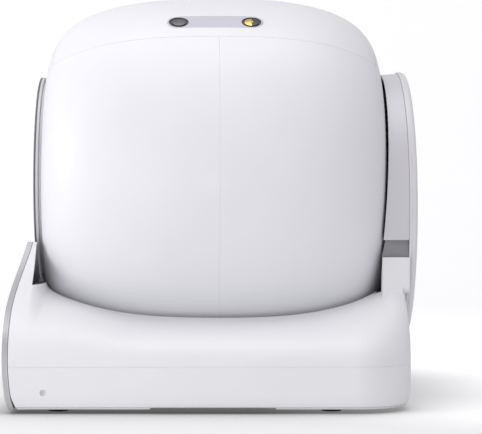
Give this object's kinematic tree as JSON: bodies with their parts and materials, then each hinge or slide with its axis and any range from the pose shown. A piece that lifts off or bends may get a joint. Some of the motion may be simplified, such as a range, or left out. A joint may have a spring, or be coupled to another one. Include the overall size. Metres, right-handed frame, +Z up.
{
  "type": "self-cleaning litter box",
  "caption": "Self-cleaning litter box: a barrel drum with a front entrance turns in a low base and tips clumps through a sliding hatch into a side drawer.",
  "frame": {"origin": "centre of the overall box, on the floor under the feet", "axes": "+Z up, -Y to the front with the entrance, +X to the side that the drawer pulls out of"},
  "size_m": [0.646, 0.5034, 0.5195],
  "materials": {
    "body_white": "satin white moulding",
    "drum_white": "gloss white moulding",
    "fascia_white": "gloss white front panel",
    "satin_silver": "satin silver paint",
    "lip_grey": "dark grey, soft",
    "catch_grey": "pale lavender grey",
    "stud_brass": "turned",
    "bright_steel": "turned and ground",
    "motor_steel": "plated can",
    "cell_aluminium": "milled",
    "liner_grey": "light grey",
    "sieve_grey": "mid grey",
    "gear_black": "black acetal",
    "frame_black": "black",
    "tray_black": "black",
    "bin_grey": "grey",
    "display_black": "smoked acrylic",
    "board_green": "circuit board",
    "inlet_black": "black",
    "button_grey": "light grey",
    "foot_rubber": "black",
    "roller_nylon": "natural nylon"
  },
  "bodies": {
    "base": {"base_shell": "body_white", "base_pan": "body_white", "front_trim": "satin_silver", "front_fascia": "fascia_white", "display_window": "display_black", "display_board": "board_green", "cradle_tray": "tray_black", "rear_housing": "body_white", "back_cover": "body_white", "cover_screw_upper_right": "bright_steel", "cover_screw_lower_right": "bright_steel", "cover_screw_lower_left": "bright_steel", "cover_screw_upper_left": "bright_steel", "gear_frame": "frame_black", "gear_motor": "motor_steel", "control_board": "board_green", "power_inlet": "inlet_black", "main_bearing": "bright_steel", "roller_bracket_left": "body_white", "roller_bracket_right": "body_white", "roller_axle_left": "bright_steel", "roller_axle_right": "bright_steel", "foot_front_left": "foot_rubber", "foot_front_right": "foot_rubber", "foot_rear_left": "foot_rubber", "foot_rear_right": "foot_rubber", "load_cell_front_left": "cell_aluminium", "load_cell_front_right": "cell_aluminium", "load_cell_rear_left": "cell_aluminium", "load_cell_rear_right": "cell_aluminium", "drawer_rail_front": "body_white", "drawer_rail_rear": "body_white"},
    "drum": {"drum_front_shell": "drum_white", "drum_rear_shell": "drum_white", "entrance_ring": "satin_silver", "entrance_lip": "lip_grey", "litter_liner": "liner_grey", "sieve_grille": "sieve_grey", "ring_gear": "gear_black", "hub_axle": "bright_steel"},
    "hatch": {"hatch_panel": "drum_white", "catch_strip": "catch_grey", "catch_stud_front": "bright_steel", "catch_stud_rear": "stud_brass"},
    "roller_left": {"roller_left": "roller_nylon"},
    "roller_right": {"roller_right": "roller_nylon"},
    "pinion": {"drive_pinion": "gear_black"},
    "drawer": {"drawer_front": "body_white", "waste_bin": "bin_grey"},
    "power_button": {"power_button": "button_grey"},
    "clean_button": {"clean_button": "button_grey"},
    "mode_button": {"mode_button": "button_grey"}
  },
  "joints": [
    {"name": "drum_spin", "type": "hinge", "parent": "base", "child": "drum", "pos_m": [0, 0.00475, 0.275], "axis": [0, 1, 0], "range_deg": [-60, 150]},
    {"name": "hatch_slide", "type": "hinge", "parent": "drum", "child": "hatch", "pos_m": [0, 0.00475, 0.275], "axis": [0, 1, 0], "range_deg": [-70, 0]},
    {"name": "roller_left_spin", "type": "hinge", "parent": "base", "child": "roller_left", "pos_m": [-0.06113, 0.00475, 0.13769], "axis": [0, 1, 0], "range_deg": [-2100, 840]},
    {"name": "roller_right_spin", "type": "hinge", "parent": "base", "child": "roller_right", "pos_m": [0.06113, 0.00475, 0.13769], "axis": [0, 1, 0], "range_deg": [-2100, 840]},
    {"name": "pinion_spin", "type": "hinge", "parent": "base", "child": "pinion", "pos_m": [0, 0.00475, 0.14], "axis": [0, 1, 0], "range_deg": [-1200, 480]},
    {"name": "drawer_slide", "type": "slide", "parent": "base", "child": "drawer", "axis": [1, 0, 0], "range_m": [0, 0.2]},
    {"name": "power_button_press", "type": "slide", "parent": "base", "child": "power_button", "axis": [0, 1, 0], "range_m": [0, 0.0012], "stiffness_N_per_m": 400, "springref_m": -0.0005},
    {"name": "clean_button_press", "type": "slide", "parent": "base", "child": "clean_button", "axis": [0, 1, 0], "range_m": [0, 0.0012], "stiffness_N_per_m": 400, "springref_m": -0.0005},
    {"name": "mode_button_press", "type": "slide", "parent": "base", "child": "mode_button", "axis": [0, 1, 0], "range_m": [0, 0.0012], "stiffness_N_per_m": 400, "springref_m": -0.0005}
  ],
  "couplings": [
    {"joint": "pinion_spin", "follows": "drum_spin", "ratio": -8},
    {"joint": "roller_left_spin", "follows": "drum_spin", "ratio": -14},
    {"joint": "roller_right_spin", "follows": "drum_spin", "ratio": -14}
  ]
}
